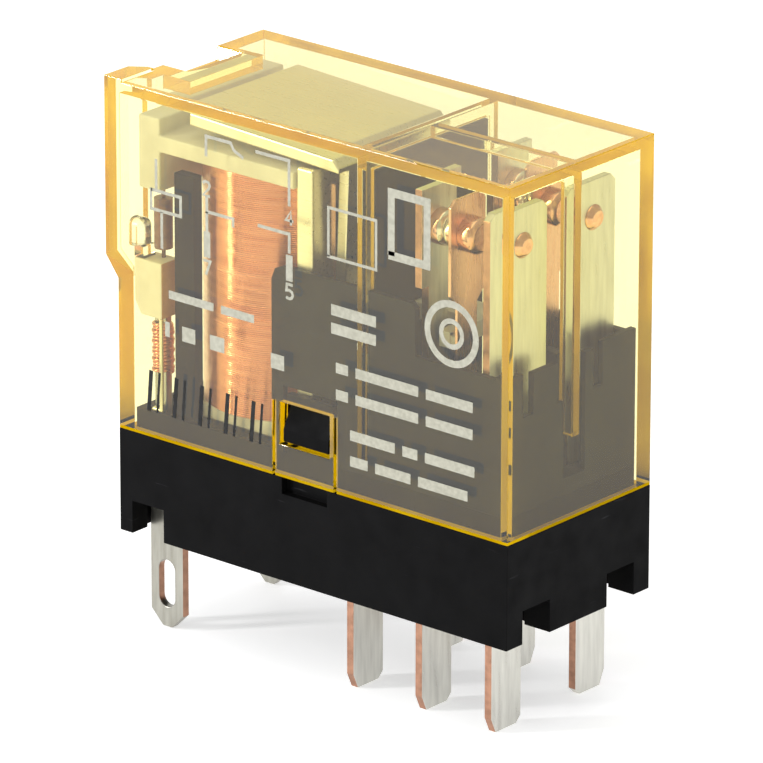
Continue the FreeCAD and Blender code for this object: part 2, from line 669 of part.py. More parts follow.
def make_moving_spring(tag, pole):
    """Flat copper-alloy leaf, narrow below and wide round the contact."""
    x = span(SPRING_X, "spring_thickness")
    leaf = outline("leaf_" + tag, "YZ", flat_outline(pole, [
        ("stem_inner", "spring_pivot"), ("stem_inner", "head_bottom - head_slope"),
        ("spring_inner", "head_bottom"),
        ("spring_inner", "plate_top - tip_bevel"), ("spring_inner + tip_bevel", "plate_top"),
        ("spring_outer - tip_bevel", "plate_top"), ("spring_outer", "plate_top - tip_bevel"),
        ("spring_outer", "head_bottom"), ("stem_outer", "head_bottom - head_slope"),
        ("stem_outer", "spring_pivot")]), x)
    return cut("leaf_strip_" + tag, leaf,
               shank_hole("leaf_hole_" + tag, pole, (x[0] + " - 1", x[1] + " + 1")))


for tag, pole in POLES.items():
    nc_face = SPRING_X + " - spring_thickness / 2 - inner_button - closed_gap"
    no_face = SPRING_X + " + spring_thickness / 2 + outer_button + contact_gap"
    nc_plate = span(PLATE_X, "blade_thickness")
    no_plate = span(NO_X, "blade_thickness")
    node("nc_contact_" + tag, rivet("nc_rivet_" + tag, pole, nc_face, nc_plate[1],
                                    nc_plate[0] + " - tail_height"))
    node("no_contact_" + tag, rivet("no_rivet_" + tag, pole, no_face, no_plate[0],
                                    no_plate[1] + " + tail_height"))
    node("moving_spring_" + tag, make_moving_spring(tag, pole))
    node("moving_contact_" + tag, make_moving_contact(tag, pole))


# ---------------------------------------------------------------- magnet

def make_bobbin():
    """Ivory bobbin: barrel, two flanges and an end block that carries the wires up."""
    right = YOKE_X + " - slip"
    head_right = BOBBIN_X + " - head_setback"
    lower_reach = POST_SIDE + " - post_thickness - 2 * slip"
    pieces = [
        rod("bobbin_barrel", COIL_X, "0", (BOBBIN_Z, "bobbin_top"), "barrel_radius"),
        block("bobbin_lower", (BOBBIN_X, right), ("-(%s)" % lower_reach, lower_reach),
              (BOBBIN_Z, BOBBIN_Z + " + lower_flange")),
        block("bobbin_upper", (head_right, right), ("-flange_reach", "flange_reach"),
              ("upper_flange_bottom", "bobbin_top")),
        block("bobbin_head", (head_right + " - head_length", head_right), ("-flange_reach", "flange_reach"),
              ("head_bottom_end", "head_top_end")),
    ]
    bore = rod("bobbin_bore", COIL_X, "0", (BOBBIN_Z + " - 1", "bobbin_top + 1"), "bore_radius")
    return cut("bobbin_moulding", join("bobbin_block", *pieces), bore)


def make_winding():
    """Round winding between the flanges, as one solid."""
    z = (BOBBIN_Z + " + lower_flange", "upper_flange_bottom")
    return cut("winding", rod("winding_outside", COIL_X, "0", z, "winding_radius"),
               rod("winding_inside", COIL_X, "0", (z[0] + " - 1", z[1] + " + 1"), "barrel_radius + slip"))


def make_core():
    """Iron core: riveted foot, shaft and wide pole face."""
    foot_top = "floor_height + yoke_thickness"
    return join("core_turned",
                rod("core_foot", COIL_X, "0", ("floor_height", foot_top), "core_foot_radius"),
                rod("core_shaft", COIL_X, "0", (foot_top, "bobbin_top"), "core_radius"),
                rod("core_pole", COIL_X, "0", ("bobbin_top", "yoke_top + armature_gap"), "pole_radius"))


def make_yoke():
    """Bent steel strip: foot under the coil and an upright leg beside it."""
    foot = block("yoke_foot", (COIL_X + " - pole_radius", HINGE_X), ("-yoke_foot_reach", "yoke_foot_reach"),
                 ("floor_height", "floor_height + yoke_thickness"))
    leg = block("yoke_leg", (YOKE_X, HINGE_X), ("-" + YOKE_REACH, YOKE_REACH),
                ("floor_height + yoke_thickness", "yoke_top"))
    low = block("yoke_neck", (YOKE_X, HINGE_X), ("-yoke_foot_reach", "yoke_foot_reach"),
                ("floor_height", "floor_height + yoke_thickness + 1"))
    hole = rod("yoke_hole", COIL_X, "0", ("floor_height - 1", "floor_height + yoke_thickness + 1"),
               "core_foot_radius + rivet_fit")
    return cut("yoke_strip", join("yoke_bent", foot, low, leg), hole)


def make_armature():
    """L-shaped steel plate, drawn closed about its hinge edge and turned open for rest."""
    low = "armature_gap"
    high = "armature_gap + armature_thickness"
    round_off = "0.6 * armature_thickness"
    arm = outline("armature_arm_plate", "XZ", [
        ("-armature_arm", low), ("armature_out - armature_thickness", low),
        ("armature_out", low), ("armature_out", high + " - " + round_off),
        ("armature_out - " + round_off, high), ("-armature_arm", high)],
        ("-armature_reach", "armature_reach"))
    leg = block("armature_leg_plate", ("armature_out - armature_thickness", "armature_out"),
                ("-armature_leg_reach", "armature_leg_reach"), ("-armature_leg", low))
    bent = join("armature_bent", arm, leg)
    bent.setExpression("Placement.Base.x", bound(HINGE_X))
    bent.setExpression("Placement.Base.z", bound(HINGE_Z))
    bent.Placement.Rotation = FreeCAD.Rotation(FreeCAD.Vector(0, 1, 0), 1)
    bent.setExpression("Placement.Rotation.Angle", bound("armature_open"))
    return bent


def make_hinge_spring():
    """Thin leaf on the yoke's outer face, between the yoke and the armature's leg."""
    x = (HINGE_X, HINGE_X + " + leaf_thickness")
    return block("hinge_leaf", x, ("-yoke_foot_reach", "yoke_foot_reach"), ("leaf_bottom", "leaf_top"))


node("bobbin", make_bobbin())
node("coil_winding", make_winding())
node("iron_core", make_core())
node("yoke", make_yoke())
node("armature", make_armature())
node("hinge_spring", make_hinge_spring())


# ---------------------------------------------------------------- actuator card

# The card slides along X through a window in the housing's cross wall.
# Its tail meets the foot of the armature's leg and its fingers meet the moving springs.

CARD_TAIL = HINGE_X + " + armature_out - armature_leg * sin(armature_open) + 1.5 * card_play"
CARD_TIP = SPRING_X + " - spring_thickness / 2 - card_play"


def make_card():
    """Stem, wide head and one finger for each pole."""
    z = span("card_height", "card_thickness")
    front = CARD_TIP + " - card_finger"
    finger_z = span("card_height", "2 * finger_half")
    pieces = [
        block("card_stem", (CARD_TAIL, front), ("-card_stem_reach", "card_stem_reach"), z),
        block("card_head", (front + " - card_bar", front), ("-card_head_reach", "card_head_reach"), z),
        block("card_tail", (CARD_TAIL, CARD_TAIL + " + card_bar"),
              ("-card_tail_reach", "card_tail_reach"), z),
    ]
    for tag, pole in POLES.items():
        pieces.append(block("card_finger_" + tag, (front + " - card_bar / 2", CARD_TIP),
                            side(pole, "stem_inner + finger_inset", "stem_outer - finger_inset"), finger_z))
    return join("card", *pieces)


node("actuator_card", make_card())


# ---------------------------------------------------------------- contact housing

# Black moulding over the contact end: a floor, two stepped side walls, a castellated end wall,
# a cross wall between coil and contacts, and a short barrier between the poles.

def make_side_wall(tag, pole):
    """Side wall in two steps, high beside the yoke and low beside the contacts."""
    left = YOKE_X + " - case_overlap"
    step = PLATE_X + " + blade_thickness"
    return outline("case_side_" + tag, "XZ", [
        (left, "rim_height"), (RIM_END, "rim_height"), (RIM_END, "case_low"), (step, "case_low"),
        (step, "case_high - case_step"), (step + " - case_step", "case_high"),
        (left + " + case_corner", "case_high"),
        (left + " + 0.29 * case_corner", "case_high - 0.29 * case_corner"),
        (left, "case_high - case_corner")], side(pole, WALL_SIDE, RIM_SIDE))


def make_end_wall(tag, pole):
    """Half of the end wall: a low panel with two posts on it, spaced differently for each pole."""
    x = (RIM_END + " - case_wall", RIM_END)
    inner, outer, gap = (("near_post_inner", "near_post_outer", "near_post_gap") if pole < 0
                         else ("end_wall_inner", "far_post_outer", "far_post_gap"))
    return [
        block("case_end_" + tag, x, side(pole, "end_wall_inner", RIM_SIDE),
              ("rim_height", "case_low - end_wall_drop")),
        block("case_post_inner_" + tag, x, side(pole, inner, outer), ("rim_height", "case_low")),
        block("case_post_outer_" + tag, x, side(pole, outer + " + " + gap, RIM_SIDE),
              ("rim_height", "case_low + end_post_rise")),
    ]


def make_housing():
    """Walls and floor, then the cut-outs for terminals, card, latch tongues and cover ribs."""
    cross = span("barrier_x", "barrier_thickness")
    floor_top = "rim_height + case_floor"
    pieces = [
        block("case_floor_plate", (HINGE_X + " + armature_out + rim_gap", RIM_END),
              ("-" + RIM_SIDE, RIM_SIDE), ("rim_height", floor_top)),
        block("case_cross", cross, ("-" + WALL_SIDE, WALL_SIDE),
              ("rim_height", CEILING + " - rib_depth - rim_gap")),
        block("case_barrier", (SPRING_X + " + case_wall + rim_gap", IN_END + " - end_rib_depth - rim_gap"),
              span("0", "2 * case_wall"), ("rim_height", "case_low")),
    ]
    for tag, pole in POLES.items():
        pieces.append(make_side_wall(tag, pole))
        pieces += make_end_wall(tag, pole)
    solid = join("case_block", *pieces)

    tools = [block("case_card_window", (cross[0] + " - 1", cross[1] + " + 1"),
                   span("0", "2 * (card_stem_reach + 2 * slip)"),
                   span("card_height", "card_thickness + 4 * slip"))]
    for tag, pole in POLES.items():
        row = side(pole, "stem_inner - slip", PLATE_OUTER + " + slip")
        far = side(pole, PLATE_INNER + " - slip", PLATE_OUTER + " + slip")
        through = ("0", floor_top + " + 1")
        tools.append(block("case_nc_hole_" + tag, span(PLATE_X, "blade_thickness + 4 * slip"), row, through))
        tools.append(block("case_com_hole_" + tag,
                           (COM_X + " + blade_thickness", SPRING_X + " + 3 * spring_thickness"),
                           row, through))
        tools.append(block("case_no_hole_" + tag, span(NO_X, "blade_thickness + 4 * slip"), far, through))
        tools.append(block("case_latch_room_" + tag, ("window_left - rim_gap", "window_right + rim_gap"),
                           side(pole, RIM_SIDE + " - latch_wall - slip", RIM_SIDE + " + 1"),
                           ("0", "window_top + 2 * latch_wall")))
        tools.append(block("case_rib_room_" + tag, span("barrier_x", "rib_thickness + 2 * rim_gap"),
                           side(pole, IN_SIDE + " - rib_depth - rim_gap", RIM_SIDE + " + 1"),
                           ("rib_bottom - rim_gap", "body_height")))
    return cut("case", solid, *tools)


node("contact_housing", make_housing())


# ---------------------------------------------------------------- indicator and wiring

LED_X = ("-" + IN_END, "led_width - " + IN_END)
LED_Y = ("rim_gap - " + IN_SIDE, "rim_gap + led_depth - " + IN_SIDE)
LAMP_Y = "rim_gap + slip + lens_radius - " + IN_SIDE
RESISTOR_X = "led_width - resistor_setback - " + IN_END
RESISTOR_Y = "rim_gap + resistor_in - " + IN_SIDE


def make_led_holder():
    """Ivory block beside the near corner post, tapered below on its outer side."""
    return outline("led_block", "XZ", [
        (LED_X[0], "led_bottom + led_taper_height"), (LED_X[0] + " + led_taper", "led_bottom"),
        (LED_X[1], "led_bottom"),
        (LED_X[1], "led_top"), (LED_X[0], "led_top")], LED_Y)


def make_led():
    """Small clear oval lamp: a narrow foot on the holder and a rounded lens that leans into the lug."""
    foot_x = (LED_X[0], LED_X[0] + " + lamp_foot")
    ends = (foot_x[1] + " - lens_length + lens_radius", foot_x[1] + " - lens_radius")
    low = "led_top + lens_step"
    high = "led_top + lens_height - lens_radius"
    half = span(LAMP_Y, "2 * lens_radius")
    pieces = [block("lamp_foot", foot_x, half, ("led_top", low + " + 0.1")),
              block("lamp_middle", ends, half, (low, high)),
              rod("lamp_ridge", ends, LAMP_Y, high, "lens_radius", along="x")]
    for word, x in (("outer", ends[0]), ("inner", ends[1])):
        pieces += [ball("lamp_dome_" + word, x, LAMP_Y, high, "lens_radius"),
                   rod("lamp_end_" + word, x, LAMP_Y, (low, high), "lens_radius")]
    return join("lamp", *pieces)


def make_resistor():
    """Series resistor standing on the holder, with its wires up to the bobbin's end block."""
    low = "led_top + lens_step"
    return join("resistor",
                rod("resistor_body", RESISTOR_X, RESISTOR_Y, (low, low + " + resistor_length"),
                    "resistor_radius"),
                rod("resistor_wires", RESISTOR_X, RESISTOR_Y, ("led_top", "head_bottom_end"), "lead_radius"))


def make_led_lead():
    """Tinned lead: down from the holder beside the wrapped wire, under it, and in to the near coil post."""
    x = COIL_BLADE_X + " + wrap_radius - lead_radius"
    y = "2 * lead_radius - " + IN_SIDE
    z = BOBBIN_Z + " + lead_radius"
    return join("lead",
                rod("lead_drop", x, y, (z, "led_bottom"), "lead_radius"),
                ball("lead_elbow", x, y, z, "lead_radius"),
                rod("lead_across", (COIL_BLADE_X, x), y, z, "lead_radius", along="x"),
                ball("lead_corner", COIL_BLADE_X, y, z, "lead_radius"),
                rod("lead_turn", COIL_BLADE_X, (y, "-coil_row - blade_thickness / 2"), z,
                    "lead_radius", along="y"))


def make_wrap(tag, pole):
    """End of the winding's wire, wrapped round a coil terminal's post, as one sleeve."""
    z = ("led_bottom - wrap_clear - wrap_length", "led_bottom - wrap_clear")
    sleeve = rod("wrap_sleeve_" + tag, COIL_BLADE_X, "%d * coil_row" % pole, z, "wrap_radius")
    room = block("wrap_room_" + tag, span(COIL_BLADE_X, "coil_post"),
                 side(pole, "coil_row - blade_thickness / 2", "coil_row + blade_thickness / 2"),
                 (z[0] + " - 1", z[1] + " + 1"))
    return cut("wrap_" + tag, sleeve, room)


node("led_holder", make_led_holder())
node("indicator_led", make_led())
node("led_resistor", make_resistor())
node("led_lead", make_led_lead())
for tag, pole in POLES.items():
    node("coil_lead_" + tag, make_wrap(tag, pole))


# ---------------------------------------------------------------- check and write

doc.recompute()
faults = [item.Name for item in doc.Objects if {"Invalid", "Error"} & set(item.State)]
for name, piece in nodes.items():
    shape = piece.Shape
    if shape.isNull() or not shape.isValid() or len(shape.Solids) != 1:
        faults.append(name)
if faults:
    raise SystemExit("faulty: " + ", ".join(faults))
for name, piece in nodes.items():
    piece.Shape.exportStep("parts/%s.step" % name)
print(len(nodes), "sub-parts written")
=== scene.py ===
import math

import bmesh
import bpy
import numpy as np
from mathutils import Matrix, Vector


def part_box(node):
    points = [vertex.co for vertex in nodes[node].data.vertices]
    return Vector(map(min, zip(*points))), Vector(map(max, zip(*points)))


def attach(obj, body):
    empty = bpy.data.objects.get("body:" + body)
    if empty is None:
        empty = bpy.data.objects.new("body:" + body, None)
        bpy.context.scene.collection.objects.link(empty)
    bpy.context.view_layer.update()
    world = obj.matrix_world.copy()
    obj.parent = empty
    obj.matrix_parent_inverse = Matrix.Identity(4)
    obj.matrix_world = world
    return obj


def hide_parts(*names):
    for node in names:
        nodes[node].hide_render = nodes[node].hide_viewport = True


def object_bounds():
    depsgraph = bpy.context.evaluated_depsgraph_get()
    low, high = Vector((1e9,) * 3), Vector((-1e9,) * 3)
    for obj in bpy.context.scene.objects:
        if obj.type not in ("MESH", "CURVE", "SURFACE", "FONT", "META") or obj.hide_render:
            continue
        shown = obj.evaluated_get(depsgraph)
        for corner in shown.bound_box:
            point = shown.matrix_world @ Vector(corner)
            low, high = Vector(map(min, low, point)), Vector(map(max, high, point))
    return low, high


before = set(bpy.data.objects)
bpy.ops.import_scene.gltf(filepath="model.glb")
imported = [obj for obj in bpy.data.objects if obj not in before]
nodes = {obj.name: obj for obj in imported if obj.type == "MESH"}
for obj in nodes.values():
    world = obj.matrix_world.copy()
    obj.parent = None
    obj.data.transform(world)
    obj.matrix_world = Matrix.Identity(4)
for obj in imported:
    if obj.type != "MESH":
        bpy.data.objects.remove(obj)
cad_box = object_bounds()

MM = 0.001


# ---------------------------------------------------------------- black base
# The base is one moulding of black glass-filled nylon, with the corner posts and the latch
# noses on it. The tool leaves a dull grained skin, and handling rubs it paler in places.

def finish(name, metallic=0.0, specular=0.5, ior=1.5, coat=0.0):
    """A material of nodes: returns it with its tree and its shader."""
    material = bpy.data.materials.new(name)
    material.use_nodes = True
    tree = material.node_tree
    shader = tree.nodes["Principled BSDF"]
    shader.inputs["Metallic"].default_value = metallic
    shader.inputs["Specular IOR Level"].default_value = specular
    shader.inputs["IOR"].default_value = ior
    shader.inputs["Coat Weight"].default_value = coat
    return material, tree, shader


def cloud(tree, size, detail=3.0, stretch=(1, 1, 1)):
    """Soft random patches about size millimetres wide, stretched along the given axes."""
    place = tree.nodes.new("ShaderNodeTexCoord")
    turn = tree.nodes.new("ShaderNodeMapping")
    turn.inputs["Scale"].default_value = [1 / (size * MM * s) for s in stretch]
    noise = tree.nodes.new("ShaderNodeTexNoise")
    noise.inputs["Scale"].default_value = 1.0
    noise.inputs["Detail"].default_value = detail
    tree.links.new(place.outputs["Object"], turn.inputs["Vector"])
    tree.links.new(turn.outputs["Vector"], noise.inputs["Vector"])
    return noise.outputs["Fac"]


def blend_colours(tree, amount, low, high, start=0.35, end=0.65):
    """Colour that runs from low to high as the amount runs from start to end."""
    ramp = tree.nodes.new("ShaderNodeValToRGB")
    ramp.color_ramp.elements[0].position = start
    ramp.color_ramp.elements[1].position = end
    ramp.color_ramp.elements[0].color = (*low, 1)
    ramp.color_ramp.elements[1].color = (*high, 1)
    tree.links.new(amount, ramp.inputs["Fac"])
    return ramp.outputs["Color"]


def vary(tree, amount, low, high, target):
    """Takes a shader's number from low to high as the amount runs from 0.3 to 0.7."""
    span = tree.nodes.new("ShaderNodeMapRange")
    for word, value in (("From Min", 0.3), ("From Max", 0.7), ("To Min", low), ("To Max", high)):
        span.inputs[word].default_value = value
    tree.links.new(amount, span.inputs["Value"])
    tree.links.new(span.outputs["Result"], target)


def roughen(tree, shader, amount, depth, strength=0.4):
    """Raises the surface by depth millimetres where the amount is high."""
    bump = tree.nodes.new("ShaderNodeBump")
    bump.inputs["Strength"].default_value = strength
    bump.inputs["Distance"].default_value = depth * MM
    tree.links.new(amount, bump.inputs["Height"])
    tree.links.new(bump.outputs["Normal"], shader.inputs["Normal"])


def mix(tree, amount, first, second):
    """Colour between two others, each of them a plain colour or another node's result."""
    both = tree.nodes.new("ShaderNodeMix")
    both.data_type = "RGBA"
    for word, source in (("Factor", amount), ("A", first), ("B", second)):
        if isinstance(source, tuple):
            both.inputs[word].default_value = (*source, 1)
        else:
            tree.links.new(source, both.inputs[word])
    return both.outputs["Result"]


def moulded_black(name, dark, pale, rubbed, specular):
    """Dull black plastic: grained skin, slow patches of sheen and a few short rubbed streaks."""
    material, tree, shader = finish(name, specular=specular)
    skin = blend_colours(tree, cloud(tree, 3.0), dark, pale)
    streaks = blend_colours(tree, cloud(tree, 0.9, 6.0, (3.5, 3.5, 0.35)), (0, 0, 0), (1, 1, 1), 0.69, 0.78)
    tree.links.new(mix(tree, streaks, skin, rubbed), shader.inputs["Base Color"])
    vary(tree, cloud(tree, 1.6, 4.0), 0.38, 0.62, shader.inputs["Roughness"])
    roughen(tree, shader, cloud(tree, 0.07, 2.0), 0.012)
    return material


SAME_CORNER = 0.0005
FLAT_WITHIN = math.radians(0.5)
SHARP_FROM = math.radians(40)


def dress(name, material, round_edges=0.0):
    """Gives a sub-part its finish, and eases its sharp edges by round_edges millimetres."""
    part = nodes[name]
    for place in part.material_slots:
        place.material = material
    if round_edges:
        weld = part.modifiers.new("weld", "WELD")
        weld.merge_threshold = SAME_CORNER * MM
        flats = part.modifiers.new("flats", "DECIMATE")
        flats.decimate_type = "DISSOLVE"
        flats.angle_limit = FLAT_WITHIN
        ease = part.modifiers.new("ease", "BEVEL")
        ease.width = round_edges * MM
        ease.segments = 2
        ease.limit_method = "ANGLE"
        ease.angle_limit = SHARP_FROM
        ease.harden_normals = False


base_black = moulded_black("base_black", (0.003, 0.003, 0.0033), (0.005, 0.005, 0.0055),
                           (0.03, 0.03, 0.033), 0.05)
dress("base", base_black, 0.12)


# ---------------------------------------------------------------- plug-in blades and plates
# Blades and contact plates are punched from tinned copper alloy strip. The broad faces keep
# the grey tin with rolling lines along the strip, and the punched edges show the copper.

PUNCHED_COPPER = (0.50, 0.27, 0.18)
DULLED_COPPER = tuple(0.72 * share for share in PUNCHED_COPPER)


def measure(tree, kind, axis):
    """Where a point of the surface is (Object) or which way it faces (Normal), along one axis."""
    place = tree.nodes.new("ShaderNodeTexCoord")
    split = tree.nodes.new("ShaderNodeSeparateXYZ")
    tree.links.new(place.outputs[kind], split.inputs["Vector"])
    return split.outputs[axis]


def reckon(tree, operation, first, second=None):
    """One step of arithmetic on plain numbers or other nodes' results."""
    step = tree.nodes.new("ShaderNodeMath")
    step.operation = operation
    for term, socket in zip((first, second), step.inputs):
        if isinstance(term, (int, float)):
            socket.default_value = term
        elif term is not None:
            tree.links.new(term, socket)
    return step.outputs[0]


def punched_strip(name, tin_dark, tin_pale, edge_axis):
    """Tinned strip: tin on broad faces, bare copper where the surface faces along edge_axis."""
    material, tree, shader = finish(name, metallic=1.0)
    rolled = cloud(tree, 0.35, 5.0, (1.0, 1.0, 9.0))
    tin = blend_colours(tree, rolled, tin_dark, tin_pale, 0.3, 0.7)
    facing_edge = reckon(tree, "ABSOLUTE", measure(tree, "Normal", edge_axis))
    edge = blend_colours(tree, facing_edge, (0, 0, 0), (1, 1, 1), 0.7, 0.85)
    copper = blend_colours(tree, cloud(tree, 0.5, 4.0), PUNCHED_COPPER, DULLED_COPPER)
    tree.links.new(mix(tree, edge, tin, copper), shader.inputs["Base Color"])
    vary(tree, rolled, 0.26, 0.44, shader.inputs["Roughness"])
    roughen(tree, shader, rolled, 0.006)
    return material


blade_tin = punched_strip("blade_tin", (0.58, 0.57, 0.52), (0.76, 0.75, 0.69), "Y")
# The coil blades take a darker copy of the same tin: painted shade that keeps the left strip lamp's
# reflection off their broad faces.
coil_blade_shaded_tin = punched_strip("coil_blade_shaded_tin", (0.30, 0.29, 0.25), (0.44, 0.43, 0.38), "X")
for pole in "12":
    for word in ("nc", "com", "no"):
        dress("%s_terminal_%s" % (word, pole), blade_tin, 0.06)
    dress("coil_terminal_" + pole, coil_blade_shaded_tin, 0.06)


# ---------------------------------------------------------------- magnet
# The core is turned iron riveted into a bent steel yoke, and the armature is a steel plate
# bent to an L. All three are nickel plated over brushed steel; a thin copper leaf holds the
# armature on its edge.

def brushed_metal(name, dark, pale, smooth, rough, grain, stretch):
    """Bare or plated metal with fine lines drawn out along one way."""
    material, tree, shader = finish(name, metallic=1.0)
    lines = cloud(tree, grain, 5.0, stretch)
    tree.links.new(blend_colours(tree, lines, dark, pale, 0.3, 0.7), shader.inputs["Base Color"])
    vary(tree, lines, smooth, rough, shader.inputs["Roughness"])
    roughen(tree, shader, lines, 0.0015)
    return material


nickel = brushed_metal("nickel", (0.74, 0.69, 0.55), (0.84, 0.78, 0.63),
                       0.26, 0.36, 0.16, (10, 1, 1))
leaf_copper = brushed_metal("leaf_copper", (0.70, 0.40, 0.28), (0.86, 0.54, 0.40),
                            0.22, 0.36, 0.2, (1, 1, 8))
dress("iron_core", nickel)
dress("yoke", nickel, 0.12)
dress("armature", nickel, 0.1)
dress("hinge_spring", leaf_copper)


# ---------------------------------------------------------------- bobbin and winding
# The bobbin is moulded in ivory nylon. Enamelled copper wire is wound round its barrel in
# turns side by side, bedded a little unevenly by the layers underneath, and each end of the
# wire is wrapped round a coil post.

def moulded_ivory(name, dark, pale):
    """Ivory nylon: faint cloudiness and a satin skin."""
    material, tree, shader = finish(name, specular=0.4)
    tree.links.new(blend_colours(tree, cloud(tree, 2.0), dark, pale), shader.inputs["Base Color"])
    vary(tree, cloud(tree, 0.8, 4.0), 0.38, 0.55, shader.inputs["Roughness"])
    roughen(tree, shader, cloud(tree, 0.09, 2.0), 0.008)
    return material


def net(points, wrap_rows=False, wrap_columns=True):
    """Corners and faces over a grid of points: four neighbours make a face, and a grid that
    wraps joins its last row or column to its first."""
    rows, columns = points.shape[:2]
    number = np.arange(rows * columns).reshape(rows, columns)
    if wrap_rows:
        number = np.vstack((number, number[:1]))
    if wrap_columns:
        number = np.hstack((number, number[:, :1]))
    faces = np.stack((number[:-1, :-1], number[:-1, 1:], number[1:, 1:], number[1:, :-1]), axis=-1)
    return points.reshape(-1, 3), faces.reshape(-1, 4)


SAME_POINT = 0.0001


def make_piece(name, nets, material, body, smooth=True):
    """One object from several nets given in millimetres, with doubled corners joined."""
    corners, faces, count = [], [], 0
    for points, cells in nets:
        corners.append(points)
        faces.append(cells + count)
        count += len(points)
    mesh = bpy.data.meshes.new(name)
    mesh.from_pydata(np.concatenate(corners) * MM, [], np.concatenate(faces).tolist())
    whole = bmesh.new()
    whole.from_mesh(mesh)
    bmesh.ops.remove_doubles(whole, verts=whole.verts, dist=SAME_POINT * MM)
    whole.to_mesh(mesh)
    whole.free()
    mesh.polygons.foreach_set("use_smooth", np.full(len(mesh.polygons), smooth))
    mesh.materials.append(material)
    piece = bpy.data.objects.new(name, mesh)
    bpy.context.scene.collection.objects.link(piece)
    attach(piece, body)
    return piece


def corners_of(name):
    """Lowest and highest corners of a sub-part in millimetres."""
    low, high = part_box(name)
    return np.array(low) / MM, np.array(high) / MM


BARREL_RADIUS = 2.7
TURN_PITCH = 0.118
POINTS_A_TURN = 5
WIRE_DIP = 0.028
BEDDING = 0.012
COIL_COLUMNS = 112


def wound_coil():
    """Section of the winding carried round the coil's axis. Its inner line is the barrel, and
    its outer line a row of round humps, one a turn, which climb by one pitch in a full circle:
    each hump falls from the radius by the dip times one less a half circle's height. The radius
    also sinks by up to twice the bedding, with the sum of three waves of height and angle."""
    low, high = corners_of("coil_winding")
    middle = (low + high) / 2
    radius = (high[0] - low[0]) / 2
    rows = int((high[2] - low[2]) / TURN_PITCH * POINTS_A_TURN)
    angle = np.linspace(0, 2 * np.pi, COIL_COLUMNS, endpoint=False)
    height = np.linspace(low[2], high[2], rows)
    turn, up = np.meshgrid(angle, height)
    part = np.mod((up - low[2]) / TURN_PITCH - turn / (2 * np.pi), 1)
    hump = 1 - np.sqrt(np.clip(1 - (2 * part - 1) ** 2, 0, 1))
    wander = (np.sin(up * 2.1 + 2 * turn) + np.sin(up * 5.3 - turn + 1.0)
              + np.sin(up * 11.0 + 3 * turn + 2.0))
    out = radius - WIRE_DIP * hump - BEDDING * (3 + wander) / 3
    barrel = np.full((1, COIL_COLUMNS), BARREL_RADIUS)
    out = np.vstack((barrel, out, barrel))
    turn = np.vstack((turn[:1], turn, turn[-1:]))
    up = np.vstack((up[:1], up, up[-1:]))
    section = np.stack((middle[0] + out * np.cos(turn), middle[1] + out * np.sin(turn), up), axis=-1)
    return net(section, wrap_rows=True)


WIRE_SIDES = 10


def wire(path, radius):
    """Round wire: at each point of the path a circle of the wire's radius lies square to the
    path, and each end closes to a point."""
    ahead = np.gradient(path, axis=0)
    ahead /= np.linalg.norm(ahead, axis=1, keepdims=True)
    first = np.cross(ahead, np.array((0.0, 0.0, 1.0)))
    first /= np.linalg.norm(first, axis=1, keepdims=True)
    second = np.cross(ahead, first)
    turn = np.linspace(0, 2 * np.pi, WIRE_SIDES, endpoint=False)
    rings = (path[:, None] + radius * (np.cos(turn)[None, :, None] * first[:, None]
                                       + np.sin(turn)[None, :, None] * second[:, None]))
    ends = [np.repeat(path[i][None, None], WIRE_SIDES, axis=1) for i in (0, -1)]
    return net(np.concatenate((ends[0], rings, ends[1])))


def enamelled_copper(name):
    """Copper under clear orange enamel: colour wanders from turn to turn."""
    material, tree, shader = finish(name, metallic=0.7, coat=1.0)
    shader.inputs["Coat Roughness"].default_value = 0.10
    bands = cloud(tree, 0.5, 4.0, (6, 6, 0.5))
    tree.links.new(blend_colours(tree, bands, (0.64, 0.20, 0.10), (0.80, 0.32, 0.19), 0.3, 0.7),
                   shader.inputs["Base Color"])
    vary(tree, bands, 0.12, 0.28, shader.inputs["Roughness"])
    return material


ivory = moulded_ivory("ivory", (0.64, 0.60, 0.56), (0.74, 0.70, 0.66))
enamel = enamelled_copper("enamel")
dress("bobbin", ivory, 0.1)
winding = make_piece("winding_turns", [wound_coil()], enamel, "frame")
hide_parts("coil_winding")

LEAD_WIRE = 0.11
LEAD_TURNS = 14
POINTS_A_WRAP = 24
LEAD_GAP = 0.05
LEAD_SWELL = 0.04


def wrapped_lead(pole):
    """The winding's end wound round a coil post: a round helix that climbs evenly about the post.
    Its radius swells and shrinks by the sine of a part of the angle, so the turns lie unevenly."""
    low, high = corners_of("coil_lead_" + pole)
    middle = (low + high) / 2
    turn = np.linspace(0, 2 * np.pi * LEAD_TURNS, POINTS_A_WRAP * LEAD_TURNS)
    reach = (high[0] - low[0]) / 2 - LEAD_WIRE - LEAD_GAP + LEAD_SWELL * np.sin(turn * 0.37)
    climb = np.linspace(low[2] + LEAD_WIRE, high[2] - LEAD_WIRE, len(turn))
    path = np.stack((middle[0] + reach * np.cos(turn), middle[1] + reach * np.sin(turn), climb), axis=-1)
    return wire(path, LEAD_WIRE)


for pole in "12":
    lead = make_piece("wrapped_lead_" + pole, [wrapped_lead(pole)], enamel, "frame")
    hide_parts("coil_lead_" + pole)


# ---------------------------------------------------------------- contact sets
# Moving springs are copper alloy leaves. Contacts are rivets: copper shanks and tails with a
# silver alloy face, closed by a press, so their tails are domed and bright.

SILVER_ALONG_X = {"nc": (7.75, 8.1), "moving": (8.0, 8.45), "no": (11.0, 11.4)}


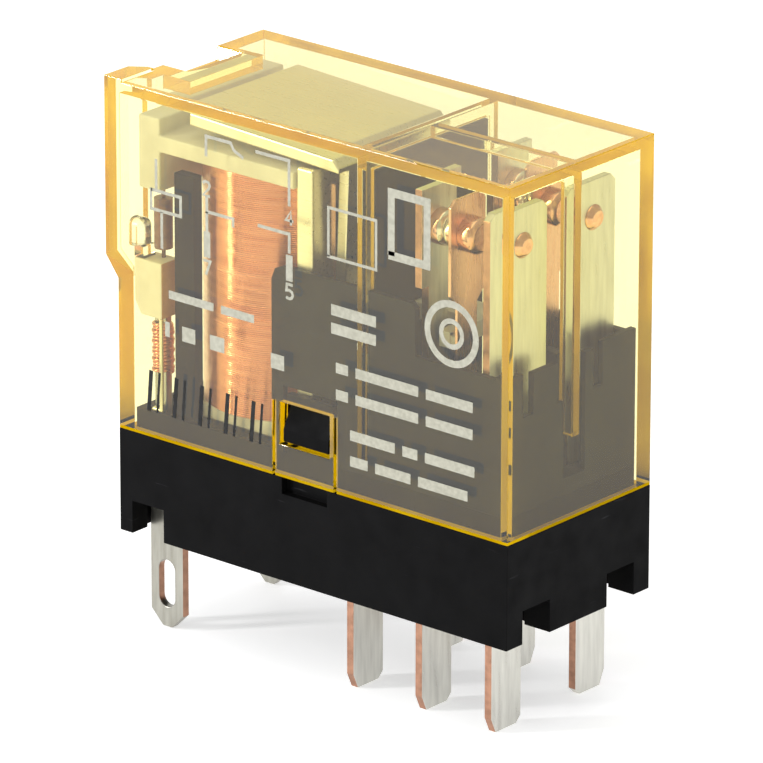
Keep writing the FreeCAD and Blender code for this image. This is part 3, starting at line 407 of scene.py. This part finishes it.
def contact_metal(name, silver_low, silver_high):
    """Copper rivet with silver between two places along X, in millimetres."""
    material, tree, shader = finish(name, metallic=1.0)
    along = measure(tree, "Object", "X")
    above = reckon(tree, "GREATER_THAN", along, silver_low * MM)
    below = reckon(tree, "LESS_THAN", along, silver_high * MM)
    silver = reckon(tree, "MULTIPLY", above, below)
    stain = cloud(tree, 0.4, 4.0)
    copper = blend_colours(tree, stain, (0.78, 0.40, 0.27), (0.90, 0.55, 0.40))
    bright = blend_colours(tree, stain, (0.78, 0.72, 0.66), (0.90, 0.86, 0.80))
    tree.links.new(mix(tree, silver, copper, bright), shader.inputs["Base Color"])
    vary(tree, stain, 0.12, 0.26, shader.inputs["Roughness"])
    return material


for pole in "12":
    dress("moving_spring_" + pole, leaf_copper, 0.03)
    for word, silver in SILVER_ALONG_X.items():
        rivet = contact_metal("%s_rivet_%s" % (word, pole), *silver)
        dress("%s_contact_%s" % (word, pole), rivet, 0.05)


# ---------------------------------------------------------------- actuator card and housing
# The card is a thin ivory moulding. The housing is black like the base: walls round the
# contacts and the tall wall that parts them from the coil.

housing_black = moulded_black("housing_black", (0.005, 0.005, 0.005), (0.010, 0.010, 0.010),
                              (0.04, 0.04, 0.04), 0.1)
dress("actuator_card", ivory, 0.06)
dress("contact_housing", housing_black, 0.1)


# ---------------------------------------------------------------- indicator
# An ivory block beside the corner post holds a small clear lamp; a brown resistor stands
# behind it, and a tinned lead runs down to the coil post.

def clear_lamp(name):
    """Clear water-white resin with slight flow marks."""
    material, tree, shader = finish(name)
    shader.inputs["Transmission Weight"].default_value = 1.0
    shader.inputs["Base Color"].default_value = (1.0, 0.98, 0.93, 1)
    vary(tree, cloud(tree, 0.6), 0.03, 0.12, shader.inputs["Roughness"])
    return material


def ivory_painted_warm_side(name):
    """Ivory moulding whose faces towards +X, the side towards the coil, are painted tan: painted shade with
    a painted warm reflection of the copper winding.
    """
    material, tree, shader = finish(name, specular=0.4)
    # Faces turned towards +X take the tan colour: painted shade and a painted reflection of the coil.
    warm_side_mask = blend_colours(tree, measure(tree, "Normal", "X"), (0, 0, 0), (1, 1, 1), 0.6, 0.8)
    clean = blend_colours(tree, cloud(tree, 2.0), (0.68, 0.63, 0.58), (0.78, 0.73, 0.68))
    painted_warm_shade = blend_colours(tree, cloud(tree, 0.8), (0.52, 0.25, 0.11), (0.62, 0.33, 0.17))
    tree.links.new(mix(tree, warm_side_mask, clean, painted_warm_shade), shader.inputs["Base Color"])
    vary(tree, cloud(tree, 0.8, 4.0), 0.38, 0.55, shader.inputs["Roughness"])
    return material


def lacquer(name, dark, pale):
    """Brown lacquer dipped over the resistor."""
    material, tree, shader = finish(name, coat=0.4)
    tree.links.new(blend_colours(tree, cloud(tree, 0.5), dark, pale), shader.inputs["Base Color"])
    vary(tree, cloud(tree, 0.3), 0.3, 0.5, shader.inputs["Roughness"])
    return material


# The holder's tan side is painted shade and a painted reflection of the coil, not a colour of the moulding.
dress("led_holder", ivory_painted_warm_side("ivory_painted_warm_side"), 0.1)
dress("indicator_led", clear_lamp("lamp_resin"))
dress("led_resistor", lacquer("resistor_brown", (0.13, 0.045, 0.025), (0.22, 0.085, 0.045)))
dress("led_lead", nickel)


# ---------------------------------------------------------------- clear cover
# Injection-moulded polycarbonate, tinted amber. Face on it is nearly clear; along an edge the
# eye looks through millimetres of it, so the rims glow deep yellow, helped by a painted amber glow.

def choose(tree, amount, first, second):
    """The first shader where the amount is 0 and the second where it is 1."""
    choice = tree.nodes.new("ShaderNodeMixShader")
    tree.links.new(amount, choice.inputs["Fac"])
    tree.links.new(first, choice.inputs[1])
    tree.links.new(second, choice.inputs[2])
    return choice.outputs["Shader"]


# Height in millimetres of the seam strip that carries the painted amber glow.
SEAM_GLOW = 0.2


def tinted_clear(name):
    """Clear amber plastic: colour comes from the depth of plastic that light crosses. Lamps and
    light scattered inside pass straight through it. Where a ray has been mirrored inside a wall,
    after an odd number of crossings, and on the lowest strip of the cover along its seam with the
    base, the plastic is a matt amber scatterer: a painted glow standing in for light guided in the wall."""
    material, tree, shader = finish(name, ior=1.585)
    shader.inputs["Transmission Weight"].default_value = 1.0
    shader.inputs["Base Color"].default_value = (1.0, 1.0, 0.99, 1)
    vary(tree, cloud(tree, 2.5), 0.0, 0.03, shader.inputs["Roughness"])
    depth = tree.nodes.new("ShaderNodeVolumeAbsorption")
    depth.inputs["Color"].default_value = (0.99, 0.95, 0.0, 1)
    depth.inputs["Density"].default_value = 340.0
    light = tree.nodes.new("ShaderNodeLightPath")
    passed = tree.nodes.new("ShaderNodeBsdfTransparent")
    passed.inputs["Color"].default_value = (0.98, 0.97, 0.92, 1)
    # Matt amber scatter for the walls' insides and the seam strip: a painted glow that stands in for light
    # guided along the wall.
    glow_amber = blend_colours(tree, cloud(tree, 4.0), (0.43, 0.25, 0.0), (0.52, 0.33, 0.004))
    near, far = (tree.nodes.new("ShaderNodeBsdf" + word) for word in ("Diffuse", "Translucent"))
    painted_glow = tree.nodes.new("ShaderNodeAddShader")
    for i, scatter in enumerate((near, far)):
        tree.links.new(glow_amber, scatter.inputs["Color"])
        tree.links.new(scatter.outputs["BSDF"], painted_glow.inputs[i])
    inside = reckon(tree, "MODULO", light.outputs["Transmission Depth"], 2)
    guided = choose(tree, inside, passed.outputs["BSDF"], painted_glow.outputs["Shader"])
    seam_top = float((corners_of("cover")[0][2] + SEAM_GLOW) * MM)
    seam = reckon(tree, "LESS_THAN", measure(tree, "Object", "Z"), seam_top)
    clear = choose(tree, seam, shader.outputs["BSDF"], painted_glow.outputs["Shader"])
    surface = choose(tree, light.outputs["Is Reflection Ray"], clear, guided)
    surface = choose(tree, light.outputs["Is Diffuse Ray"], surface, passed.outputs["BSDF"])
    surface = choose(tree, light.outputs["Is Shadow Ray"], surface, passed.outputs["BSDF"])
    out = tree.nodes["Material Output"]
    tree.links.new(surface, out.inputs["Surface"])
    tree.links.new(depth.outputs["Volume"], out.inputs["Volume"])
    return material


dress("cover", tinted_clear("amber_clear"), 0.1)


# ---------------------------------------------------------------- printing
# Pad-printed marks on the near long side: in pale ink a plain wiring diagram with terminal
# numbers, and plain bars and rings where other marks would be; in black ink a few slanted
# bars. The ink is a thin raised film, sunk a little into the cover.

INK_THICKNESS = 0.012
INK_PROUD = 0.004
MITRE_LIMIT = 1.2
ARC_POINTS = 40
near_side = corners_of("cover")[0][1]


def stroke(points, width):
    """Flat ribbon of ink: the given line, in X and Z, widened square to itself and mitred at its
    bends, a sharp mitre being cut short. Its section is a rectangle, and each end closes to a
    point."""
    line = np.array(points, float)
    steps = np.diff(line, axis=0)
    steps /= np.linalg.norm(steps, axis=1, keepdims=True)
    before = np.vstack((steps[:1], steps))
    after = np.vstack((steps, steps[-1:]))
    across = np.stack((before[:, 1] + after[:, 1], -before[:, 0] - after[:, 0]), axis=1)
    across /= np.maximum(np.sum(across ** 2, axis=1, keepdims=True), MITRE_LIMIT) / 2
    left = line - across * width / 2
    right = line + across * width / 2
    front = near_side - INK_PROUD
    back = front + INK_THICKNESS
    section = [np.stack((p[:, 0], np.full(len(p), y), p[:, 1]), axis=-1)
               for p, y in ((left, front), (left, back), (right, back), (right, front))]
    grid = np.stack(section, axis=1)
    ends = [np.repeat(grid[i].mean(axis=0)[None, None], 4, axis=1) for i in (0, -1)]
    return net(np.concatenate((ends[0], grid, ends[1])))


def ring(centre, radius):
    """Points once round a circle."""
    angle = np.radians(np.linspace(0, 360, ARC_POINTS))
    return np.stack((centre[0] + radius * np.cos(angle), centre[1] + radius * np.sin(angle)), axis=-1)


DIGITS = {
    "2": [[(0, 0.8), (0.1, 0.95), (0.3, 1), (0.5, 0.95), (0.6, 0.75), (0.5, 0.5), (0, 0), (0.62, 0)]],
    "4": [[(0.45, 0), (0.45, 1), (0, 0.3), (0.66, 0.3)]],
    "5": [[(0.58, 1), (0.08, 1), (0.04, 0.56), (0.3, 0.6), (0.52, 0.5), (0.6, 0.3), (0.5, 0.08),
           (0.3, 0), (0, 0.06)]],
    "7": [[(0, 1), (0.62, 1), (0.22, 0)]],
}


def digit(mark, x, z, height, width):
    """A terminal number drawn with plain strokes."""
    return [stroke([(x + a * height, z + b * height) for a, b in line], width) for line in DIGITS[mark]]


def printed_marks():
    """The wiring diagram: thin lines for contacts and coil, two thick bars and four numbers."""
    marks = []
    for line in (
        [(-11.9, 21.4), (-9.65, 21.4), (-9.65, 20.25), (-11.9, 20.25), (-11.9, 21.5)],
        [(-11.5, 23.3), (-11.5, 21.5)], [(-11.1, 20.2), (-11.1, 18.0)],
        [(-7.67, 21.9), (-7.67, 21.0), (-5.7, 21.0), (-5.7, 20.5)],
        [(-3.85, 21.05), (-1.5, 21.05), (-1.5, 19.9)], [(-7.67, 21.0), (-7.67, 19.8)],
        [(-7.7, 24.3), (-7.7, 25.5), (-5.85, 25.5), (-5.6, 25.1), (-4.9, 24.8)],
        [(-1.5, 24.2), (-1.5, 22.7)], [(-4.0, 25.4), (-1.5, 25.4), (-1.5, 24.2)],
    ):
        marks.append(stroke(line, 0.2))
    for x in (-7.67, -1.5):
        marks.append(stroke([(x, 19.8), (x, 18.25)], 0.5))
    for mark, x, z in (("2", -7.95, 21.95), ("7", -7.95, 17.2), ("4", -1.75, 21.6), ("5", -1.75, 17.2)):
        marks += digit(mark, x, z, 0.85, 0.17)
    return marks


def plain_marks():
    """Plain rings, frames and bars that stand in for marks and wording."""
    eye = (10.4, 17.9)
    marks = [stroke(ring(eye, 1.75), 0.42), stroke(ring(eye, 0.75), 0.3)]
    marks.append(stroke([(6.0, 21.5), (6.0, 25.2), (8.6, 25.2), (8.6, 21.5), (5.8, 21.5)], 0.5))
    marks.append(stroke([(1.4, 20.4), (1.4, 23.3), (4.9, 23.3), (4.9, 20.4), (1.3, 20.4)], 0.18))
    gap = 0.55
    for z, x, thick, lengths in (
        (13.9, 1.95, 0.62, (0.9, 4.6, 3.4)), (12.3, 1.95, 0.62, (0.9, 4.6, 3.4)),
        (10.1, 3.0, 0.62, (3.3, 1.1, 3.6)), (8.55, 3.0, 0.62, (1.3, 2.6, 3.6)),
        (15.35, -10.6, 0.5, (3.4, 2.5)),
    ):
        for length in lengths:
            marks.append(stroke([(x, z), (x + length, z)], thick))
            x += length + gap
    for x, length in ((-10.9, 0.35), (-9.6, 1.0), (-7.5, 1.1), (-2.9, 1.0)):
        marks.append(stroke([(x, 13.2), (x + length, 13.2)], 0.9))
    for z in (16.2, 17.3):
        marks.append(stroke([(1.6, z), (4.9, z)], 0.65))
    return marks


def black_marks():
    """Five pairs of slanted bars near the base at the coil end, in place of a stamped code."""
    marks = []
    foot, head, slant = 7.9, 10.4, 0.2
    for x in np.linspace(-12.2, -4.4, 5):
        for aside, thick in ((0, 0.3), (0.65, 0.18)):
            marks.append(stroke([(x + aside, foot), (x + aside + slant, head)], thick))
    return marks


def ink(name, dark, pale):
    """Matt pad-print ink, thin enough to be a little uneven."""
    material, tree, shader = finish(name, specular=0.3)
    tree.links.new(blend_colours(tree, cloud(tree, 0.25, 5.0), dark, pale), shader.inputs["Base Color"])
    vary(tree, cloud(tree, 0.3), 0.5, 0.75, shader.inputs["Roughness"])
    return material


pale_ink = ink("pale_ink", (0.42, 0.41, 0.33), (0.52, 0.51, 0.42))
make_piece("wiring_diagram", printed_marks(), pale_ink, "frame", smooth=False)
make_piece("plain_marks", plain_marks(), pale_ink, "frame", smooth=False)
black_ink = ink("black_ink", (0.008, 0.008, 0.009), (0.016, 0.016, 0.016))
make_piece("black_marks", black_marks(), black_ink, "frame", smooth=False)


# ---------------------------------------------------------------- floor, light and camera
# The relay stands on its blade tips on a pale floor that is lit a little from within, under a
# bright even sky. A narrow strip lights it from the left, one broad panel from above and a
# fainter one from behind.

FLOOR_GAP = 0.02
FLOOR_REACH = 900


def pale_floor():
    """Square sheet just under the blade tips."""
    under = cad_box[0][2] / MM - FLOOR_GAP
    across, along = np.meshgrid(*[np.linspace(-FLOOR_REACH, FLOOR_REACH, 3)] * 2)
    level = np.full(across.shape, under)
    points, cells = net(np.stack((across, along, level), axis=-1), wrap_columns=False)
    mesh = bpy.data.meshes.new("floor")
    mesh.from_pydata(points * MM, [], cells.tolist())
    material, tree, shader = finish("floor_white", specular=0.1)
    tree.links.new(blend_colours(tree, cloud(tree, 40), (0.93, 0.93, 0.93), (0.95, 0.95, 0.95)),
                   shader.inputs["Base Color"])
    shader.inputs["Emission Color"].default_value = (1, 1, 1, 1)
    shader.inputs["Emission Strength"].default_value = 0.5
    mesh.materials.append(material)
    sheet = bpy.data.objects.new("floor", mesh)
    bpy.context.scene.collection.objects.link(sheet)


def stand(holder, across, up, back, place):
    """Puts a lamp or camera at a place in metres, looking against the back direction."""
    turn = np.eye(4)
    turn[:3, :3] = np.stack((across, up, back), axis=1)
    turn[:3, 3] = place
    holder.matrix_world = Matrix(turn.tolist())
    bpy.context.scene.collection.objects.link(holder)


def facing(azimuth, elevation):
    """Level and upright directions of a view from an angle in degrees, and the way back from it."""
    a, e = math.radians(azimuth), math.radians(elevation)
    back = np.array((math.sin(a) * math.cos(e), -math.cos(a) * math.cos(e), math.sin(e)))
    level = np.array((math.cos(a), math.sin(a), 0))
    return level, np.cross(back, level), back


def panel(name, azimuth, elevation, distance, width, height, power):
    """Rectangular lamp that faces the relay from the given direction in degrees."""
    lamp = bpy.data.lights.new(name, "AREA")
    lamp.shape = "RECTANGLE"
    lamp.size = width
    lamp.size_y = height
    lamp.energy = power
    level, upright, back = facing(azimuth, elevation)
    stand(bpy.data.objects.new(name, lamp), level, upright, back, distance * back)


def camera():
    """Long lens at 40 degrees to the right and 20 above, aimed near the middle of the relay, and
    turned a little about its own line of sight. Places are in millimetres."""
    aim, aside, below, distance = np.array((0, 0, 15)), 0.067, 3.92, 478.44
    level, upright, back = facing(40.338, 20.269)
    roll = math.radians(0.089)
    right = math.cos(roll) * level + math.sin(roll) * upright
    up = math.cos(roll) * upright - math.sin(roll) * level
    place = aim - aside * right - below * up + distance * back
    eye = bpy.data.cameras.new("camera")
    eye.sensor_width = 36
    eye.lens = 397.5
    eye.clip_start = 0.01
    holder = bpy.data.objects.new("camera", eye)
    stand(holder, right, up, back, place * MM)
    bpy.context.scene.camera = holder


pale_floor()
panel("strip_left", -41, 22, 0.5, 0.045, 0.4, 1.3)
panel("panel_top", 20, 80, 0.6, 0.6, 0.6, 0.9)
panel("panel_back", -140, 20, 0.6, 0.5, 0.35, 0.22)
sky = bpy.data.worlds.new("sky")
sky.use_nodes = True
sky.node_tree.nodes["Background"].inputs["Color"].default_value = (1, 1, 1, 1)
sky.node_tree.nodes["Background"].inputs["Strength"].default_value = 0.53
bpy.context.scene.world = sky
bpy.context.scene.view_settings.view_transform = "Standard"
camera()
